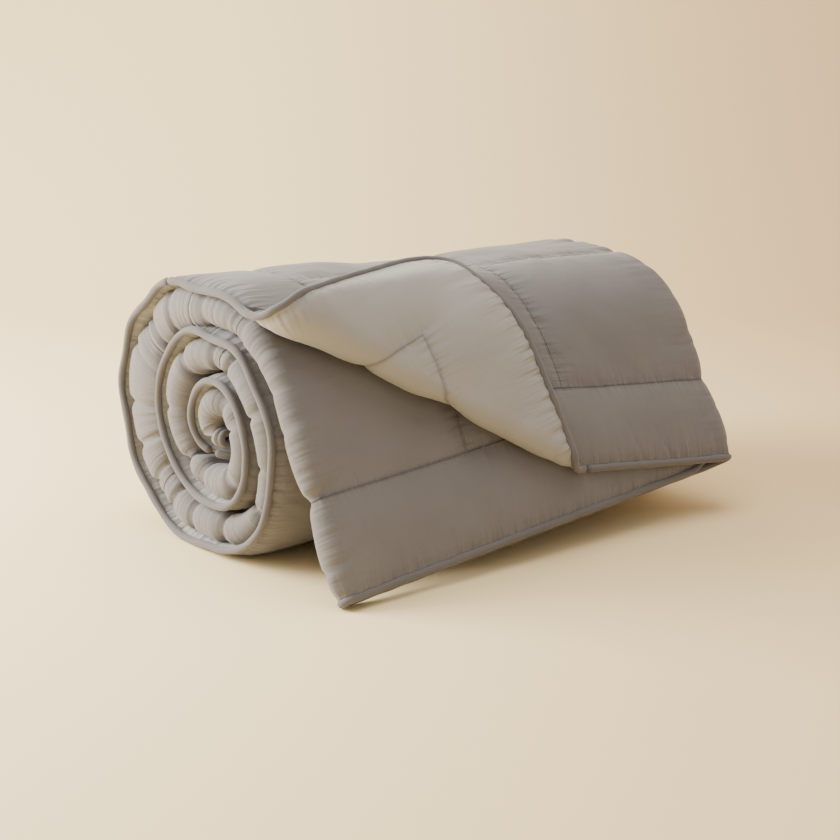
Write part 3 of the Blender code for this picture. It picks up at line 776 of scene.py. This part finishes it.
def stitches(name, lines, mat):
    """Short stitches, each a tiny closed tube, on the face along lines of (a, b)."""
    pitch, share, radius, lift = 0.006, 0.62, 0.00045, 0.0001
    runs = []
    for a, b in lines:
        length = math.hypot(a[-1] - a[0], b[-1] - b[0])
        n = max(1, int(length / pitch))
        at = (np.arange(n) + 0.2) / n
        ends = []
        for f in (0, 0.5, 1):
            q = at + f * share * pitch / length
            ends.append(quilt(a[0] + (a[-1] - a[0]) * q, b[0] + (b[-1] - b[0]) * q, 1, lift))
        runs.append(np.stack(ends, 1))
    p = np.concatenate(runs)
    n = len(p)
    t = p[:, 2] - p[:, 0]
    t /= np.maximum(np.linalg.norm(t, axis=1), 1e-9)[:, None]
    s = np.cross(t, [0.21, 0.37, 0.9])
    s /= np.linalg.norm(s, axis=1)[:, None]
    w = np.cross(t, s)
    ang = np.arange(4) * math.tau / 4
    taper = np.array([0.35, 1.0, 0.35])
    out = s[:, None, None] * np.cos(ang)[None, None, :, None]
    out = out + w[:, None, None] * np.sin(ang)[None, None, :, None]
    ring = p[:, :, None] + radius * taper[None, :, None, None] * out
    co = ring.reshape(-1, 3)
    one = []
    for i in (0, 1):
        for j in range(4):
            k = (j + 1) % 4
            one.append([i * 4 + j, i * 4 + k, i * 4 + 4 + k, i * 4 + 4 + j])
    one += [[3, 2, 1, 0], [8, 9, 10, 11]]
    faces = (np.array(one)[None] + np.arange(n)[:, None, None] * 12).reshape(-1, 4)
    return mesh_object(name, co, faces, co[:, :2], (mat,))


ENDS = (BORDER, WIDE - BORDER)
tail_b = B_SEAMS[-2]


# where the corner's fold crosses the last row across and the first row along
STITCH_GAP = 0.004
fold_a = float(cut_line(tail_b))
side_a = A_SEAMS[1]
fold_b = S_A + (CUT_X - side_a * FOLD_OUT[0]) / FOLD_OUT[1]
roll_lines = [((a, a), (OUTER, CUT)) for a in A_SEAMS[1:-1]]
roll_lines += [(ENDS, (b, b)) for b in B_SEAMS[1:-2] if b < CUT]
tail_lines = [((a, a), (CUT, tail_b)) for a in A_SEAMS[2:-1]]
tail_lines += [((side_a, side_a), (CUT, fold_b - STITCH_GAP))]
tail_lines += [((fold_a + STITCH_GAP, ENDS[1]), (tail_b, tail_b))]
tail_lines += [(ENDS, (b, b)) for b in B_SEAMS[1:-2] if b >= CUT]
corner_lines = [((side_a, side_a), (fold_b + STITCH_GAP, tail_b)),
                ((ENDS[0], fold_a - STITCH_GAP), (tail_b, tail_b))]
roll_thread = stitches("roll_stitching", roll_lines, THREAD)
tail_thread = stitches("tail_stitching", tail_lines, THREAD)
corner_thread = stitches("corner_stitching", corner_lines, THREAD)

# ---------------------------------------------------------------- the roll's pieces on its body, and the CAD's own pieces hidden
NAMES = list(frame["nodes"])


def nodes_like(body, *words):
    """The CAD nodes of a body whose names hold one of the words."""
    return [n for n in NAMES if n.startswith(body + "_") and any(w in n for w in words)]


# the corner's fold axis as in the CAD, which lies in the tail's slope, and the way across it that points
# uphill
AXIS_DIR = np.array([0.838332, -0.288891, -0.462321])
slope_out = np.array([0, -math.sin(LEAN), math.cos(LEAN)])
uphill = -np.cross(AXIS_DIR, slope_out)
if uphill[2] < 0:
    uphill = -uphill
for obj in (roll, roll_piping, roll_thread):
    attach(obj, "roll")
for obj in (tail, tail_piping, tail_thread):
    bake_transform(obj)
for obj in (corner, corner_piping, corner_thread):
    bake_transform(obj)
for body, shown, pipe, thread in (("roll", roll, roll_piping, roll_thread),
                                  ("tail", tail, tail_piping, tail_thread),
                                  ("corner", corner, corner_piping, corner_thread)):
    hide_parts(*nodes_like(body, "fabric", "fill"))
    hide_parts(*nodes_like(body, "piping"))
    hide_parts(*nodes_like(body, "quilting"))

# ---------------------------------------------------------------- floor, light and camera
AZ, EL, LENS = math.radians(-38.0), math.radians(14.0), 75.6
CAMERA_AT = (-1.598, -1.994, 0.781)
RIGHT = np.array([math.cos(AZ), math.sin(AZ), 0])
AHEAD = np.array([-math.sin(AZ), math.cos(AZ), 0])
UP = np.array([0, 0, 1])


def stage_mesh():
    """A floor that sweeps up into a backdrop behind the duvet, square to the camera."""
    front, sweep_at, sweep, half_width, top, steps = -6.0, 1.6, 1.4, 7.0, 6.0, 40
    profile = [(front, 0.0)]
    for i in range(steps + 1):
        t = math.pi / 2 * i / steps
        profile.append((sweep_at + sweep * math.sin(t), sweep - sweep * math.cos(t)))
    profile.append((sweep_at + sweep, top))
    co = [RIGHT * w + AHEAD * d + UP * z for d, z in profile for w in (-half_width, half_width)]
    faces = [(2 * i, 2 * i + 1, 2 * i + 3, 2 * i + 2) for i in range(len(profile) - 1)]
    mesh = bpy.data.meshes.new("backdrop")
    mesh.from_pydata([tuple(p) for p in co], [], faces)
    mesh.polygons.foreach_set("use_smooth", [True] * len(faces))
    return linked("backdrop", mesh)


backdrop = stage_mesh()
paper = bpy.data.materials.new("backdrop_paper")
nodes, links = nodes_of(paper)
nodes["Principled BSDF"].inputs["Roughness"].default_value = 0.9
nodes["Principled BSDF"].inputs["Specular IOR Level"].default_value = 0.1
place = nodes.new("ShaderNodeTexCoord")
# painted shade: the paper's colour grows darker and warmer from the left of the picture to the right,
# where less of the key light falls
turn = nodes.new("ShaderNodeVectorMath")
turn.operation = "DOT_PRODUCT"
turn.inputs[1].default_value = tuple(RIGHT)
painted_falloff = nodes.new("ShaderNodeMapRange")
painted_falloff.interpolation_type = "SMOOTHSTEP"
painted_falloff.inputs["From Min"].default_value = -0.7
painted_falloff.inputs["From Max"].default_value = 1.3
paper_and_painted_falloff = nodes.new("ShaderNodeMix")
paper_and_painted_falloff.data_type = "RGBA"
# the paper as lit at the left, and at the right the darker, warmer painted shade
paper_and_painted_falloff.inputs["A"].default_value = (0.975, 0.79, 0.44, 1)
paper_and_painted_falloff.inputs["B"].default_value = (0.75, 0.535, 0.29, 1)
links.new(place.outputs["Object"], turn.inputs[0])
links.new(turn.outputs["Value"], painted_falloff.inputs["Value"])
links.new(painted_falloff.outputs["Result"], paper_and_painted_falloff.inputs["Factor"])
links.new(paper_and_painted_falloff.outputs["Result"], nodes["Principled BSDF"].inputs["Base Color"])
backdrop.data.materials.append(paper)


def area(name, right, ahead, up, aim, size, power, colour):
    """A square light, placed as seen from the camera and aimed at a height above the origin."""
    light = bpy.data.lights.new(name, "AREA")
    light.size = size
    light.energy = power
    light.color = colour
    obj = linked(name, light)
    at = right * RIGHT + ahead * AHEAD + up * UP
    obj.location = at
    obj.rotation_mode = "QUATERNION"
    obj.rotation_quaternion = Vector(at - aim * UP).to_track_quat("Z", "Y")


area("key", -2.7, 0.05, 1.30, aim=0.15, size=2.0, power=300, colour=(1.0, 0.985, 0.96))
area("fill", 2.2, -1.8, 1.6, aim=0.2, size=2.2, power=5, colour=(1.0, 0.90, 0.80))
area("top", 0.0, 0.2, 3.0, aim=0.0, size=2.5, power=78, colour=(1.0, 0.97, 0.93))
studio = bpy.data.worlds.new("studio")
studio.use_nodes = True
surround = studio.node_tree.nodes["Background"]
surround.inputs["Color"].default_value = (1.0, 0.965, 0.92, 1)
surround.inputs["Strength"].default_value = 0.73
bpy.context.scene.world = studio

cam = bpy.data.cameras.new("camera")
cam.lens = LENS
cam.sensor_width = 36
camera = linked("camera", cam)
camera.location = CAMERA_AT
camera.rotation_euler = (math.pi / 2 - EL, 0, AZ)
bpy.context.scene.camera = camera
